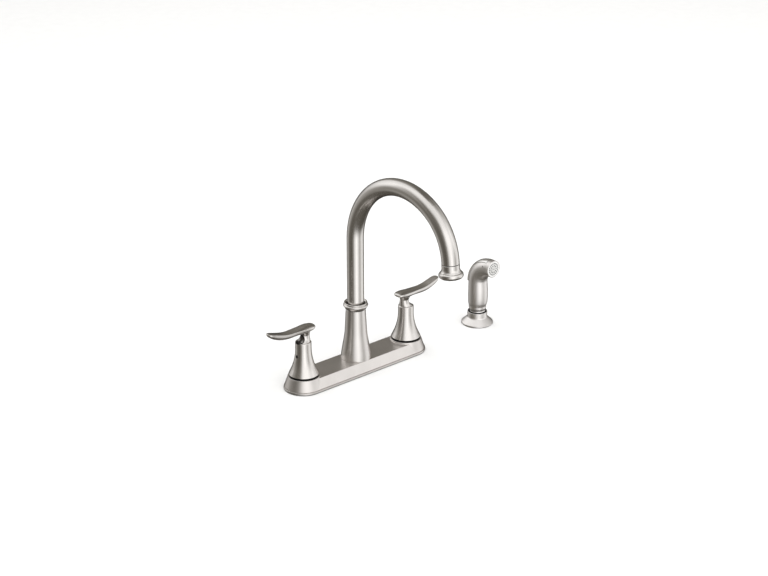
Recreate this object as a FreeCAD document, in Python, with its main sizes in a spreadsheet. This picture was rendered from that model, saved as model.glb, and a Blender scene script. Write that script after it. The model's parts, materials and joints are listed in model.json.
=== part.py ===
import FreeCAD, Part
import Sketcher
import PartDesign
import math
import os
from FreeCAD import Vector, Placement, Rotation

# Two handle kitchen faucet with a high arc spout and a separate side spray.
# Millimetres, +Z up.  The origin is on the deck plane, under the spout's axis.
# +X runs along the deck plate toward the cold handle and the side spray, and
# the spout reaches over the sink toward -Y.

doc = FreeCAD.newDocument("two_handle_kitchen_faucet")
sheet = doc.addObject("Spreadsheet::Sheet", "Sheet")


# --------------------------------------------------------------------------
# Dimensions: each one is a number and the expression that reads its cell.
# --------------------------------------------------------------------------
class Dim:
    def __init__(self, v, e):
        self.v = float(v)
        self.e = e

    def __add__(self, o):
        o = dim(o)
        return Dim(self.v + o.v, "(%s + %s)" % (self.e, o.e))

    def __radd__(self, o):
        return dim(o) + self

    def __sub__(self, o):
        o = dim(o)
        return Dim(self.v - o.v, "(%s - %s)" % (self.e, o.e))

    def __rsub__(self, o):
        return dim(o) - self

    def __mul__(self, o):
        o = dim(o)
        return Dim(self.v * o.v, "(%s * %s)" % (self.e, o.e))

    def __rmul__(self, o):
        return dim(o) * self

    def __neg__(self):
        return Dim(-self.v, "(0 - %s)" % self.e)


def dim(o):
    if isinstance(o, Dim):
        return o
    o = float(o)
    return Dim(o, "%.6f" % o if o >= 0 else "(0 - %.6f)" % (-o))


def sine(a):
    a = dim(a)
    return Dim(math.sin(math.radians(a.v)), "sin(%s)" % a.e)


def cosine(a):
    a = dim(a)
    return Dim(math.cos(math.radians(a.v)), "cos(%s)" % a.e)


row_number = [1]


def cell(alias, value, note):
    r = row_number[0]
    sheet.set("A%d" % r, note)
    sheet.set("B%d" % r, repr(float(value)))
    sheet.setAlias("B%d" % r, alias)
    row_number[0] += 1
    return Dim(value, "Sheet." + alias)


# deck plate
half_centres = cell("half_centres", 101.6, "handle axis from the spout axis, 8 in centres")
plate_end = cell("plate_end", 30.4, "radius of the plate's ends at the foot lip")
plate_wall = cell("plate_wall", 29.3, "end radius where the flared wall starts")
plate_top_half = cell("plate_top_half", 21.7, "half width of the flat top")
plate_top = cell("plate_top", 18.75, "height of the flat top")
lip_low = cell("lip_low", 0.6, "underside of the lip, on the gasket")
lip_high = cell("lip_high", 3.9, "top of the lip")
wall_low = cell("wall_low", 4.7, "foot of the flared wall")
ring_high = cell("ring_high", 20.8, "top of the round seat under each handle")
ring_edge = cell("ring_edge", 23.9, "radius of that seat's top")
plate_thick = cell("plate_thick", 2.3, "casting thickness of the plate")
handle_hole = cell("handle_hole", 15.6, "radius of the holes for the valves")
# handles
bell_low = cell("bell_low", 23.5, "lower rim of the handle bell")
bell_rim = cell("bell_rim", 22.5, "radius of that rim")
bell_neck = cell("bell_neck", 12.05, "radius of the bell's upper half")
bell_arc = cell("bell_arc", 80.0, "radius of the bell's concave curve")
bell_slope = cell("bell_slope", 23.5, "slope of the bell's skirt, degrees")
bell_straight = cell("bell_straight", 64.0, "height where the straight part starts")
bell_high = cell("bell_high", 75.0, "top of the bell")
bell_thick = cell("bell_thick", 2.2, "wall of the bell")
screw_high = cell("screw_high", 53.5, "height of the set screw")
# spout base
cone_foot = cell("cone_foot", 22.8, "radius of the spout base at its foot")
cone_round = cell("cone_round", 70.0, "radius of its convex foot curve")
cone_slope = cell("cone_slope", 9.8, "slope of its middle, degrees")
cone_end = cell("cone_end", 3.0, "slope of its upper part, degrees")
cone_bend = cell("cone_bend", 52.0, "height where the concave curve starts")
cone_arc = cell("cone_arc", 101.8, "radius of the concave curve")
cone_high = cell("cone_high", 98.2, "top of the spout base")
cone_thick = cell("cone_thick", 1.8, "wall of the spout base")
# spout
tube_out = cell("tube_out", 12.7, "outer radius of the spout tube, 1 in tube")
tube_in = cell("tube_in", 11.3, "inner radius of the spout tube")
tube_foot = cell("tube_foot", 90.0, "lower end of the tube, inside the base")
rise = cell("rise", 209.0, "height where the arc starts")
arc_first = cell("arc_first", 105.3, "radius of the arc's first part")
sweep_first = cell("sweep_first", 123.0, "degrees of the arc's first part")
arc_last = cell("arc_last", 87.5, "radius of the arc's last part")
sweep_all = cell("sweep_all", 175.3, "degrees turned by both parts together")
# spray
spray_x = cell("spray_x", 257.0, "side spray's axis from the spout axis")
flange_edge = cell("flange_edge", 25.4, "radius of the holder's flange, 2 in across")
holder_neck = cell("holder_neck", 15.9, "radius of the holder's collar")
holder_high = cell("holder_high", 20.4, "top of the holder's collar")
bend_arc = cell("bend_arc", 29.0, "radius of the wand's bend")
barrel_z = cell("barrel_z", 101.8, "height of the nozzle's axis")
nozzle_y = cell("nozzle_y", 34.2, "nozzle face forward of the spray's axis")
# under the deck
shank_out = cell("shank_out", 10.4, "radius of the threaded inlet shanks")
shank_low = cell("shank_low", 56.0, "length of the shanks below the deck")
deck_thick = cell("deck_thick", 18.0, "deck that the nuts are shown clamping")


# --------------------------------------------------------------------------
# Construction helpers
# --------------------------------------------------------------------------
parts = []


def bind(obj, path, value):
    if isinstance(value, Dim) and "Sheet." in value.e:
        obj.setExpression(path, value.e)


def body(label, x=0.0, y=0.0, z=0.0, turn=0.0, axis=(0, 0, 1), keep=True):
    b = doc.addObject("PartDesign::Body", label)
    b.Label = label
    x, y, z = dim(x), dim(y), dim(z)
    b.Placement = Placement(Vector(x.v, y.v, z.v), Rotation(Vector(*axis), turn))
    bind(b, "Placement.Base.x", x)
    bind(b, "Placement.Base.y", y)
    bind(b, "Placement.Base.z", z)
    if keep:
        parts.append(b)
    return b


def plane(b, role):
    for f in b.Origin.OriginFeatures:
        if f.Role == role:
            return f
    raise RuntimeError("no plane " + role)


def sketch(b, name, role, off=None, shift=None, tilt=None):
    sk = b.newObject("Sketcher::SketchObject", b.Name + "_" + name)
    sk.AttachmentSupport = [(plane(b, role), "")]
    sk.MapMode = "FlatFace"
    if shift is not None:
        sx, sy, sz = [dim(v) for v in shift]
        sk.AttachmentOffset = Placement(Vector(sx.v, sy.v, sz.v),
                                        Rotation(Vector(1, 0, 0), tilt or 0.0))
        bind(sk, "AttachmentOffset.Base.x", sx)
        bind(sk, "AttachmentOffset.Base.y", sy)
        bind(sk, "AttachmentOffset.Base.z", sz)
    elif off is not None:
        off = dim(off)
        sk.AttachmentOffset = Placement(Vector(0, 0, off.v), Rotation())
        bind(sk, "AttachmentOffset.Base.z", off)
    return sk


def pin_point(sk, todo, geo, pos, x, y):
    x, y = dim(x), dim(y)
    if abs(x.v) < 1e-9 and abs(y.v) < 1e-9:
        todo.append((Sketcher.Constraint("Coincident", geo, pos, -1, 1), None))
        return
    if abs(x.v) < 1e-9:
        todo.append((Sketcher.Constraint("PointOnObject", geo, pos, -2), None))
    else:
        todo.append((Sketcher.Constraint("DistanceX", -1, 1, geo, pos, x.v), x))
    if abs(y.v) < 1e-9:
        todo.append((Sketcher.Constraint("PointOnObject", geo, pos, -1), None))
    else:
        todo.append((Sketcher.Constraint("DistanceY", -1, 1, geo, pos, y.v), y))


def apply(sk, todo):
    first = sk.ConstraintCount
    sk.addConstraint([c for c, _ in todo])
    for i, (_, d) in enumerate(todo):
        if isinstance(d, Dim) and "Sheet." in d.e:
            sk.setExpression("Constraints[%d]" % (first + i), d.e)


def outline(sk, pts, closed=True):
    """pts: (x, y) or (x, y, r); r is the radius of the arc that leads to the
    point from the one before, positive when it turns counter-clockwise."""
    n = len(pts)
    first = sk.GeometryCount
    geos, ends = [], []
    segs = [(i, (i + 1) % n) for i in range(n if closed else n - 1)]
    todo = []
    for k, (i, j) in enumerate(segs):
        p, q = pts[i], pts[j]
        a = Vector(dim(p[0]).v, dim(p[1]).v, 0)
        c = Vector(dim(q[0]).v, dim(q[1]).v, 0)
        if len(q) > 2:
            r = dim(q[2])
            rr = abs(r.v)
            mid = (a + c) * 0.5
            half = (c - a).Length * 0.5
            h = math.sqrt(max(rr * rr - half * half, 0.0))
            d = (c - a).normalize()
            left = Vector(-d.y, d.x, 0)
            ctr = mid + left * (h if r.v > 0 else -h)
            sa = math.atan2(a.y - ctr.y, a.x - ctr.x)
            ea = math.atan2(c.y - ctr.y, c.x - ctr.x)
            if r.v < 0:
                sa, ea = ea, sa
            circ = Part.Circle(ctr, Vector(0, 0, 1), rr)
            geos.append(Part.ArcOfCircle(circ, sa, ea))
            ends.append((1, 2) if r.v > 0 else (2, 1))
            rad = r if r.v > 0 else -r
            todo.append((Sketcher.Constraint("Radius", first + k, rr), rad))
        else:
            geos.append(Part.LineSegment(a, c))
            ends.append((1, 2))
    sk.addGeometry(geos, False)
    m = len(segs)
    for k in range(m if closed else m - 1):
        kn = (k + 1) % m
        todo.append((Sketcher.Constraint("Coincident", first + k, ends[k][1],
                                         first + kn, ends[kn][0]), None))
    for k, (i, j) in enumerate(segs):
        pin_point(sk, todo, first + k, ends[k][0], pts[i][0], pts[i][1])
    if not closed:
        pin_point(sk, todo, first + m - 1, ends[m - 1][1], pts[-1][0], pts[-1][1])
    apply(sk, todo)


def circles(sk, rows):
    first = sk.GeometryCount
    todo = []
    geos = []
    for k, (x, y, r) in enumerate(rows):
        x, y, r = dim(x), dim(y), dim(r)
        geos.append(Part.Circle(Vector(x.v, y.v, 0), Vector(0, 0, 1), r.v))
        todo.append((Sketcher.Constraint("Radius", first + k, r.v), r))
        pin_point(sk, todo, first + k, 3, x, y)
    sk.addGeometry(geos, False)
    apply(sk, todo)


def stadium(sk, half, r):
    """A slot outline along X: two straight sides and two round ends."""
    half, r = dim(half), dim(r)
    f = sk.GeometryCount
    c, q = half.v, r.v
    sk.addGeometry([
        Part.LineSegment(Vector(-c, -q, 0), Vector(c, -q, 0)),
        Part.ArcOfCircle(Part.Circle(Vector(c, 0, 0), Vector(0, 0, 1), q), -math.pi / 2, math.pi / 2),
        Part.LineSegment(Vector(c, q, 0), Vector(-c, q, 0)),
        Part.ArcOfCircle(Part.Circle(Vector(-c, 0, 0), Vector(0, 0, 1), q), math.pi / 2, 3 * math.pi / 2),
    ], False)
    K = Sketcher.Constraint
    todo = [
        (K("Coincident", f, 2, f + 1, 1), None), (K("Coincident", f + 1, 2, f + 2, 1), None),
        (K("Coincident", f + 2, 2, f + 3, 1), None), (K("Coincident", f + 3, 2, f, 1), None),
        (K("PointOnObject", f + 1, 3, -1), None), (K("PointOnObject", f + 3, 3, -1), None),
        (K("Vertical", f + 1, 3, f + 1, 1), None), (K("Vertical", f + 1, 3, f + 1, 2), None),
        (K("Vertical", f + 3, 3, f + 3, 1), None), (K("Vertical", f + 3, 3, f + 3, 2), None),
        (K("DistanceX", -1, 1, f + 1, 3, c), half), (K("DistanceX", f + 3, 3, -1, 1, c), half),
        (K("Radius", f + 1, q), r), (K("Radius", f + 3, q), r),
    ]
    apply(sk, todo)


def hexagon(r, cx=0.0, cy=0.0):
    return [(cx + r * math.cos(math.radians(60 * k)), cy + r * math.sin(math.radians(60 * k)))
            for k in range(6)]


def volume(b):
    doc.recompute()
    return b.Shape.Volume


def revolve(b, pts, name="turned", role="XZ_Plane", cut=False):
    sk = sketch(b, name, role)
    outline(sk, pts)
    kind = "PartDesign::Groove" if cut else "PartDesign::Revolution"
    f = b.newObject(kind, b.Name + "_" + name + "_rev")
    f.Profile = sk
    f.ReferenceAxis = (sk, ["V_Axis"])
    f.Angle = 360.0
    b.Tip = f
    return f


def ring(b, rows, name="ring", cut=False):
    """Round sections turned about the body's own axis, as O-rings are."""
    sk = sketch(b, name, "XZ_Plane")
    circles(sk, rows)
    f = b.newObject("PartDesign::Groove" if cut else "PartDesign::Revolution", b.Name + "_" + name + "_rev")
    f.Profile = sk
    f.ReferenceAxis = (sk, ["V_Axis"])
    f.Angle = 360.0
    b.Tip = f
    return f


def pad(b, sk, length, back=False):
    f = b.newObject("PartDesign::Pad", sk.Name + "_pad")
    f.Profile = sk
    length = dim(length)
    f.Length = length.v
    bind(f, "Length", length)
    f.Reversed = back
    b.Tip = f
    return f


def pocket(b, sk, length, back=False):
    """Cut against the sketch's normal, or along it with back=True."""
    v0 = volume(b)
    f = b.newObject("PartDesign::Pocket", sk.Name + "_pocket")
    f.Profile = sk
    length = dim(length)
    f.Length = length.v
    bind(f, "Length", length)
    f.Reversed = back
    b.Tip = f
    v1 = volume(b)
    if not v1 < v0 - 0.05:
        raise RuntimeError("%s cuts nothing (%.2f, %.2f)" % (f.Name, v0, v1))
    return f


def loft(b, sks, name, cut=False, ruled=False):
    f = b.newObject("PartDesign::SubtractiveLoft" if cut else "PartDesign::AdditiveLoft", b.Name + "_" + name)
    f.Profile = sks[0]
    f.Sections = sks[1:]
    f.Ruled = ruled
    b.Tip = f
    return f


def round_edges(b, r, pick, kind="PartDesign::Fillet"):
    doc.recompute()
    src = b.Tip
    names = []
    for i, e in enumerate(src.Shape.Edges):
        if pick(e):
            names.append("Edge%d" % (i + 1))
    if not names:
        raise RuntimeError("no edge to round on " + b.Name)
    f = b.newObject(kind, b.Name + "_round%d" % len(b.Group))
    f.Base = (src, names)
    if kind.endswith("Fillet"):
        f.Radius = r
    else:
        f.Size = r
    b.Tip = f
    doc.recompute()
    return f


def level(e, z, tol=0.02):
    bb = e.BoundBox
    return abs(bb.ZMin - z) < tol and abs(bb.ZMax - z) < tol


def drill(b, role, off, rows, length, back=False, name="hole"):
    sk = sketch(b, "%s%d" % (name, len(b.Group)), role, off=off)
    circles(sk, rows)
    return pocket(b, sk, length, back)


# --------------------------------------------------------------------------
# Deck plate: a hollow casting with a foot lip, flared walls, a flat top and a
# round seat under each handle.
# --------------------------------------------------------------------------
b = body("deck_plate")
sk = sketch(b, "lip", "XY_Plane", off=lip_low)
stadium(sk, half_centres, plate_end)
pad(b, sk, lip_high - lip_low)
round_edges(b, 0.7, lambda e: level(e, lip_high.v) or level(e, lip_low.v))
sk = sketch(b, "waist", "XY_Plane", off=lip_low)
stadium(sk, half_centres, plate_wall - 0.9)
pad(b, sk, wall_low - lip_low + 0.4)
low = sketch(b, "wall_foot", "XY_Plane", off=wall_low)
stadium(low, half_centres, plate_wall)
high = sketch(b, "wall_head", "XY_Plane", off=plate_top)
stadium(high, half_centres, plate_top_half)
loft(b, [low, high], "walls", ruled=True)
round_edges(b, 0.9, lambda e: level(e, plate_top.v))
for side, sx in (("cold", half_centres), ("hot", -half_centres)):
    a = sketch(b, side + "_seat_foot", "XY_Plane", off=wall_low)
    circles(a, [(sx, 0, plate_wall)])
    c = sketch(b, side + "_seat_head", "XY_Plane", off=ring_high)
    circles(c, [(sx, 0, ring_edge)])
    loft(b, [a, c], side + "_seat", ruled=True)
round_edges(b, 0.6, lambda e: level(e, ring_high.v))
a = sketch(b, "hollow_foot", "XY_Plane", off=lip_low)
stadium(a, half_centres, plate_wall - plate_thick)
c = sketch(b, "hollow_head", "XY_Plane", off=plate_top - plate_thick)
stadium(c, half_centres, plate_top_half - plate_thick)
loft(b, [a, c], "hollow", cut=True, ruled=True)
for side, sx in (("cold", half_centres), ("hot", -half_centres)):
    a = sketch(b, side + "_hollow_foot", "XY_Plane", off=wall_low)
    circles(a, [(sx, 0, plate_wall - plate_thick - 0.4)])
    c = sketch(b, side + "_hollow_head", "XY_Plane", off=ring_high - plate_thick)
    circles(c, [(sx, 0, ring_edge - plate_thick - 0.4)])
    loft(b, [a, c], side + "_hollow", cut=True, ruled=True)
drill(b, "XY_Plane", ring_high + 1.0, [(half_centres, 0, handle_hole), (-half_centres, 0, handle_hole)], 5.0)
drill(b, "XY_Plane", plate_top + 1.0, [(0, 0, 14.0)], 5.0, name="middle")

# The gasket closes the underside of the plate and seals it to the deck.
b = body("deck_gasket")
sk = sketch(b, "sheet", "XY_Plane")
stadium(sk, half_centres, plate_end - 0.7)
circles(sk, [(half_centres, 0, shank_out + 0.4), (-half_centres, 0, shank_out + 0.4), (0, 0, 9.6)])
pad(b, sk, lip_low)

# --------------------------------------------------------------------------
# Spout base: a hollow waisted cone that stands on the plate.
# --------------------------------------------------------------------------
foot_z = plate_top + cone_round * sine(cone_slope)
foot_r = cone_foot - cone_round * (1 - cosine(cone_slope))
tan_slope = math.tan(math.radians(cone_slope.v))
bend_r = foot_r - (cone_bend - foot_z) * Dim(tan_slope, "tan(Sheet.cone_slope)")
top_z = cone_bend + cone_arc * (sine(cone_slope) - sine(cone_end))
top_r = bend_r - cone_arc * (cosine(cone_end) - cosine(cone_slope))
tan_end = Dim(math.tan(math.radians(cone_end.v)), "tan(Sheet.cone_end)")
head_r = top_r - (cone_high - top_z) * tan_end
b = body("spout_base")
revolve(b, [(cone_foot - 1.9, plate_top), (cone_foot - 0.35, plate_top),
            (cone_foot, plate_top + 0.35),
            (foot_r, foot_z, cone_round), (bend_r, cone_bend), (top_r, top_z, -cone_arc),
            (head_r, cone_high - 0.3), (head_r - 0.3, cone_high),
            (head_r - cone_thick, cone_high),
            (top_r - cone_thick, top_z), (bend_r - cone_thick, cone_bend),
            (foot_r - cone_thick, foot_z)])

# --------------------------------------------------------------------------
# Valves: one under each handle.  Each is built about its own axis with +X
# outward, away from the spout, so the hot one is turned half round.
# --------------------------------------------------------------------------
for side, sx, turn in (("cold", half_centres, 0.0), ("hot", -half_centres, 180.0)):
    b = body(side + "_valve_body", x=sx, turn=turn)
    revolve(b, [(5.5, -shank_low), (shank_out - 0.6, -shank_low), (shank_out, -shank_low + 0.6),
                (shank_out, -34.0), (shank_out - 0.5, -33.6), (shank_out - 0.5, -32.8), (shank_out, -32.4),
                (shank_out, lip_low + 0.05), (14.0, lip_low + 0.05), (14.0, 17.5), (12.0, 17.5),
                (12.0, 30.0), (8.2, 30.0), (8.2, -2.0), (5.5, -2.0)])
    sk = sketch(b, "port", "YZ_Plane", off=-19.0)
    circles(sk, [(0, 9.0, 6.2)])
    pad(b, sk, 6.0)
    drill(b, "YZ_Plane", -19.5, [(0, 9.0, 4.75)], 5.5, back=True, name="socket")
    drill(b, "YZ_Plane", -15.0, [(0, 9.0, 3.9)], 8.5, back=True, name="way")

    b = body(side + "_seat_seal", x=sx, turn=turn)
    revolve(b, [(5.7, -2.0), (8.1, -2.0), (8.1, 0.0), (5.7, 0.0)])

    b = body(side + "_fixed_disc", x=sx, turn=turn)
    revolve(b, [(0, 0), (6.9, 0), (6.9, 3.0), (0, 3.0)])
    drill(b, "XY_Plane", 4.0, [(3.4, 0, 2.2), (-3.4, 0, 2.2)], 5.0)

    b = body(side + "_cartridge_shell", x=sx, turn=turn)
    revolve(b, [(7.0, 0), (8.2, 0), (8.2, 30.0), (11.8, 30.0), (11.8, 32.0), (4.75, 32.0),
                (4.75, 27.0), (7.0, 27.0)])
    drill(b, "YZ_Plane", -12.0, [(0, 9.5, 3.2)], 24.0, back=True, name="window")

    b = body(side + "_bonnet_nut", x=sx, turn=turn)
    sk = sketch(b, "hex", "XY_Plane", off=21.2)
    outline(sk, hexagon(14.4))
    pad(b, sk, 12.8)
    drill(b, "XY_Plane", 21.2, [(0, 0, 12.0)], 10.8, back=True, name="thread")
    drill(b, "XY_Plane", 36.0, [(0, 0, 6.0)], 8.0, name="neck")

    b = body(side + "_feed_tube", x=sx, turn=turn)
    sk = sketch(b, "bore", "YZ_Plane", off=-half_centres + 13.0)
    circles(sk, [(0, 9.0, 4.75), (0, 9.0, 3.9)])
    pad(b, sk, half_centres - 27.5)

    # ---- pieces that turn with the handle
    b = body(side + "_turning_disc", x=sx, turn=turn)
    revolve(b, [(0, 3.05), (6.8, 3.05), (6.8, 6.0), (0, 6.0)])
    drill(b, "XY_Plane", 7.0, [(0, 3.4, 2.2), (0, -3.4, 2.2)], 5.0)

    b = body(side + "_stem", x=sx, turn=turn)
    revolve(b, [(0, 6.0), (6.6, 6.0), (6.6, 15.9), (5.1, 15.9), (5.1, 18.1), (6.6, 18.1),
                (6.6, 26.4), (4.65, 26.4), (4.65, 46.0), (4.2, 46.0), (4.2, 56.8), (3.8, 57.2),
                (0, 57.2)])
    sk = sketch(b, "flat", "XY_Plane", off=47.5)
    outline(sk, [(3.7, -5.0), (6.0, -5.0), (6.0, 5.0), (3.7, 5.0)])
    pocket(b, sk, 11.0, back=True)

    b = body(side + "_stem_seal", x=sx, turn=turn)
    ring(b, [(6.0, 17.0, 0.88)])

    bell_foot_z = bell_straight - bell_arc * sine(bell_slope)
    bell_foot_r = bell_neck + bell_arc * (1 - cosine(bell_slope))
    b = body(side + "_handle_hub", x=sx, turn=turn)
    revolve(b, [(bell_rim - bell_thick + 0.2, bell_low), (bell_rim - 0.35, bell_low),
                (bell_rim, bell_low + 0.4),
                (bell_foot_r, bell_foot_z), (bell_neck, bell_straight, -bell_arc),
                (bell_neck, bell_high - 1.6), (bell_neck - 1.5, bell_high, 1.6),
                (2.15, bell_high), (2.15, 60.0), (4.25, 60.0), (4.25, 46.0), (11.8, 46.0),
                (bell_foot_r - bell_thick, bell_foot_z)])
    drill(b, "XY_Plane", bell_high + 0.5, [(-3.0, 0, 6.55)], 11.5, name="socket")
    s = b.newObject("PartDesign::SubtractiveSphere", b.Name + "_scoop")
    s.Radius = 7.4
    s.Placement = Placement(Vector(7.0, 0, 79.2), Rotation())
    b.Tip = s
    drill(b, "YZ_Plane", 2.0, [(0, screw_high, 2.5)], 14.0, back=True, name="screw")

    b = body(side + "_set_screw", x=sx, turn=turn)
    sk = sketch(b, "shank", "YZ_Plane", off=3.75)
    circles(sk, [(0, screw_high, 2.45)])
    pad(b, sk, 6.0)
    sk = sketch(b, "socket", "YZ_Plane", off=9.75)
    outline(sk, [(p[0], screw_high + p[1]) for p in hexagon(1.45)])
    pocket(b, sk, 2.6)

    b = body(side + "_lever_screw", x=sx, turn=turn)
    revolve(b, [(0, 57.4), (3.6, 57.4), (3.6, 60.0), (2.05, 60.0), (2.05, 72.0), (0, 72.0)])
    sk = sketch(b, "socket", "XY_Plane", off=57.4)
    outline(sk, hexagon(1.7))
    pocket(b, sk, 1.8, back=True)

# The blade of a lever: stations along its length, outward from the handle's
# axis, each with the height of its top and its underside and its half width.
blade = []
rows = [(-19.6, 96.9, 94.2, 3.6), (-17.8, 98.0, 92.8, 6.9), (-14.0, 98.9, 91.4, 9.0),
        (-8.0, 99.4, 90.4, 9.9), (0.0, 99.2, 89.9, 9.7), (9.0, 98.3, 89.8, 8.8),
        (19.0, 97.4, 89.3, 7.9), (29.0, 97.2, 88.9, 7.5), (39.0, 98.6, 89.7, 7.3),
        (49.0, 101.3, 92.1, 7.1), (57.0, 103.6, 95.6, 6.8), (62.0, 104.9, 98.7, 5.9),
        (64.9, 105.1, 101.2, 4.0)]
for k, (dd, zt, zb, w) in enumerate(rows):
    t = "abcdefghijklm"[k]
    blade.append((cell("blade_run_" + t, dd, "lever station %d, outward" % k),
                  cell("blade_top_" + t, zt, "its top"), cell("blade_low_" + t, zb, "its underside"),
                  cell("blade_half_" + t, w, "its half width")))
for side, sx, turn in (("cold", half_centres, 0.0), ("hot", -half_centres, 180.0)):
    b = body(side + "_lever", x=sx, turn=turn)
    sk = sketch(b, "spigot", "XY_Plane", off=64.05)
    circles(sk, [(-3.0, 0, 6.5)])
    pad(b, sk, 11.0)
    sks = []
    # the neck stands on the bell's top, nearly flush with it on the inner side
    for k, (z, c, r) in enumerate([(75.05, -0.8, 9.6), (77.2, -2.2, 8.3), (79.8, -3.1, 7.4),
                                   (83.0, -3.4, 6.8), (87.0, -3.1, 7.5), (91.0, -2.6, 9.2)]):
        sk = sketch(b, "neck%d" % k, "XY_Plane", off=z)
        circles(sk, [(c, 0, r)])
        sks.append(sk)
    loft(b, sks, "neck")
    # the hollow on the neck's outer side, which runs on into the bell's top
    s = b.newObject("PartDesign::SubtractiveSphere", b.Name + "_scoop")
    s.Radius = 7.5
    s.Placement = Placement(Vector(7.0, 0, 79.2), Rotation())
    b.Tip = s
    sks = []
    for k, (dd, zt, zb, w) in enumerate(blade):
        th = zt.v - zb.v
        q, p = min(1.3, 0.30 * th), min(2.8, 0.42 * th)
        sk = sketch(b, "blade%d" % k, "YZ_Plane", off=dd)
        outline(sk, [(-w + q, zt), (-w, zt - q, q), (-w, zb + p), (-w + p, zb, p),
                     (w - p, zb), (w, zb + p, p), (w, zt - q), (w - q, zt, q)])
        sks.append(sk)
    loft(b, sks, "blade")
    drill(b, "XY_Plane", 63.0, [(0, 0, 2.05)], 10.0, back=True, name="tapped")

# The plain bearing rings that the bells turn on, one on each seat.
b = body("handle_glide_rings")
sk = sketch(b, "rings", "XY_Plane", off=ring_high)
circles(sk, [(half_centres, 0, 21.7), (half_centres, 0, 17.2),
             (-half_centres, 0, 21.7), (-half_centres, 0, 17.2)])
pad(b, sk, bell_low - ring_high - 0.1)

# --------------------------------------------------------------------------
# Centre body: the brass waterway under the spout, with the diverter in it.
# --------------------------------------------------------------------------
b = body("centre_body")
revolve(b, [(0, -8.0), (9.0, -8.0), (9.0, lip_low + 0.05), (13.0, lip_low + 0.05), (13.0, 30.0),
            (11.0, 32.0), (11.0, 84.0), (8.2, 84.0), (8.2, 26.0), (6.0, 26.0), (6.0, 4.0), (0, 4.0)])
sk = sketch(b, "ports", "YZ_Plane", off=-18.0)
circles(sk, [(0, 9.0, 6.2)])
pad(b, sk, 7.0)
sk = sketch(b, "ports_cold", "YZ_Plane", off=11.0)
circles(sk, [(0, 9.0, 6.2)])
pad(b, sk, 7.0)
drill(b, "YZ_Plane", -18.5, [(0, 9.0, 4.75)], 5.5, back=True, name="socket")
drill(b, "YZ_Plane", 13.0, [(0, 9.0, 4.75)], 5.5, back=True, name="socket")
drill(b, "YZ_Plane", -14.0, [(0, 9.0, 3.9)], 28.0, back=True, name="way")
drill(b, "XY_Plane", -9.0, [(0, 0, 5.0)], 14.0, back=True, name="outlet")

b = body("spray_nipple")
sk = sketch(b, "hex", "XY_Plane", off=-13.0)
outline(sk, hexagon(8.6))
pad(b, sk, 4.95)
sk = sketch(b, "thread", "XY_Plane", off=-8.1)
circles(sk, [(0, 0, 4.95)])
pad(b, sk, 8.0)
sk = sketch(b, "tail", "XY_Plane", off=-38.0)
circles(sk, [(0, 0, 6.6)])
pad(b, sk, 25.1)
drill(b, "XY_Plane", -39.0, [(0, 0, 3.2)], 40.0, back=True, name="bore")

b = body("diverter_seat")
revolve(b, [(3.6, 26.0), (8.15, 26.0), (8.15, 29.5), (3.6, 29.5)])

b = body("diverter_spring")
sk = sketch(b, "wire", "XZ_Plane")
circles(sk, [(3.2, 21.0, 0.45)])
f = b.newObject("PartDesign::AdditiveHelix", "diverter_spring_coil")
f.Profile = sk
f.ReferenceAxis = (sk, ["V_Axis"])
f.Mode = "pitch-height-angle"
f.Pitch = 1.5
f.Height = 4.5
b.Tip = f

b = body("diverter_poppet")
revolve(b, [(0, 13.0), (2.0, 13.0), (2.0, 16.5), (5.7, 17.0), (5.7, 19.5), (4.9, 20.4), (2.2, 20.4),
            (2.2, 22.4), (0, 22.4)])

# --------------------------------------------------------------------------
# Spout: the parts that swivel.
# --------------------------------------------------------------------------
b = body("spout_insert")
revolve(b, [(5.6, 44.0), (7.7, 44.0), (8.14, 44.5), (8.14, 52.0), (6.3, 52.0), (6.3, 54.5),
            (8.14, 54.5), (8.14, 60.0), (6.3, 60.0), (6.3, 62.5), (8.14, 62.5), (8.14, 84.1),
            (10.9, 84.1), (10.9, 86.5), (9.8, 86.5), (9.8, 90.0), (tube_in, 90.0),
            (tube_in, 103.0), (8.8, 103.0), (8.8, 88.0), (5.6, 84.0)])

b = body("spout_seals")
ring(b, [(7.2, 53.25, 0.9), (7.2, 61.25, 0.9)])

b = body("spout_nut")
revolve(b, [(11.0, 74.0), (12.9, 74.0), (12.9, 89.2), (10.1, 89.2), (10.1, 86.8), (11.0, 86.8)])

b = body("spout_glide_ring")
revolve(b, [(13.1, cone_high), (14.5, cone_high), (14.5, cone_high + 1.25), (13.1, cone_high + 1.25)])

c0 = cone_high + 1.4
b = body("spout_collar")
revolve(b, [(tube_out, c0), (16.0, c0), (16.4, c0 + 0.3), (17.75, c0 + 2.9, -9.0),
            (17.9, c0 + 6.4, 2.1), (17.05, c0 + 6.9), (16.75, c0 + 7.4),
            (17.25, c0 + 8.0), (16.9, c0 + 9.6, 0.95), (16.0, c0 + 9.4), (tube_out + 0.6, c0 + 6.4, 4.6),
            (tube_out, c0 + 6.4)])

b = body("spout_tube")
prof = sketch(b, "section", "XY_Plane", off=tube_foot)
circles(prof, [(0, 0, tube_out), (0, 0, tube_in)])
way = sketch(b, "path", "YZ_Plane")
p1y = -arc_first + arc_first * cosine(sweep_first)
p1z = rise + arc_first * sine(sweep_first)
p2y = p1y - arc_last * cosine(sweep_first) + arc_last * cosine(sweep_all)
p2z = p1z - arc_last * sine(sweep_first) + arc_last * sine(sweep_all)
outline(way, [(0, tube_foot), (0, rise), (p1y, p1z, arc_first), (p2y, p2z, arc_last)], closed=False)
f = b.newObject("PartDesign::AdditivePipe", "spout_tube_pipe")
f.Profile = prof
f.Spine = way
f.Mode = "Standard"
f.Transition = "Transformed"
b.Tip = f

# Outlet pieces, built about the axis of the tube's end and leaned with it.
lean = sweep_all.v - 180.0


def outlet(label):
    return body(label, y=p2y, z=p2z, turn=lean, axis=(1, 0, 0))


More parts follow.
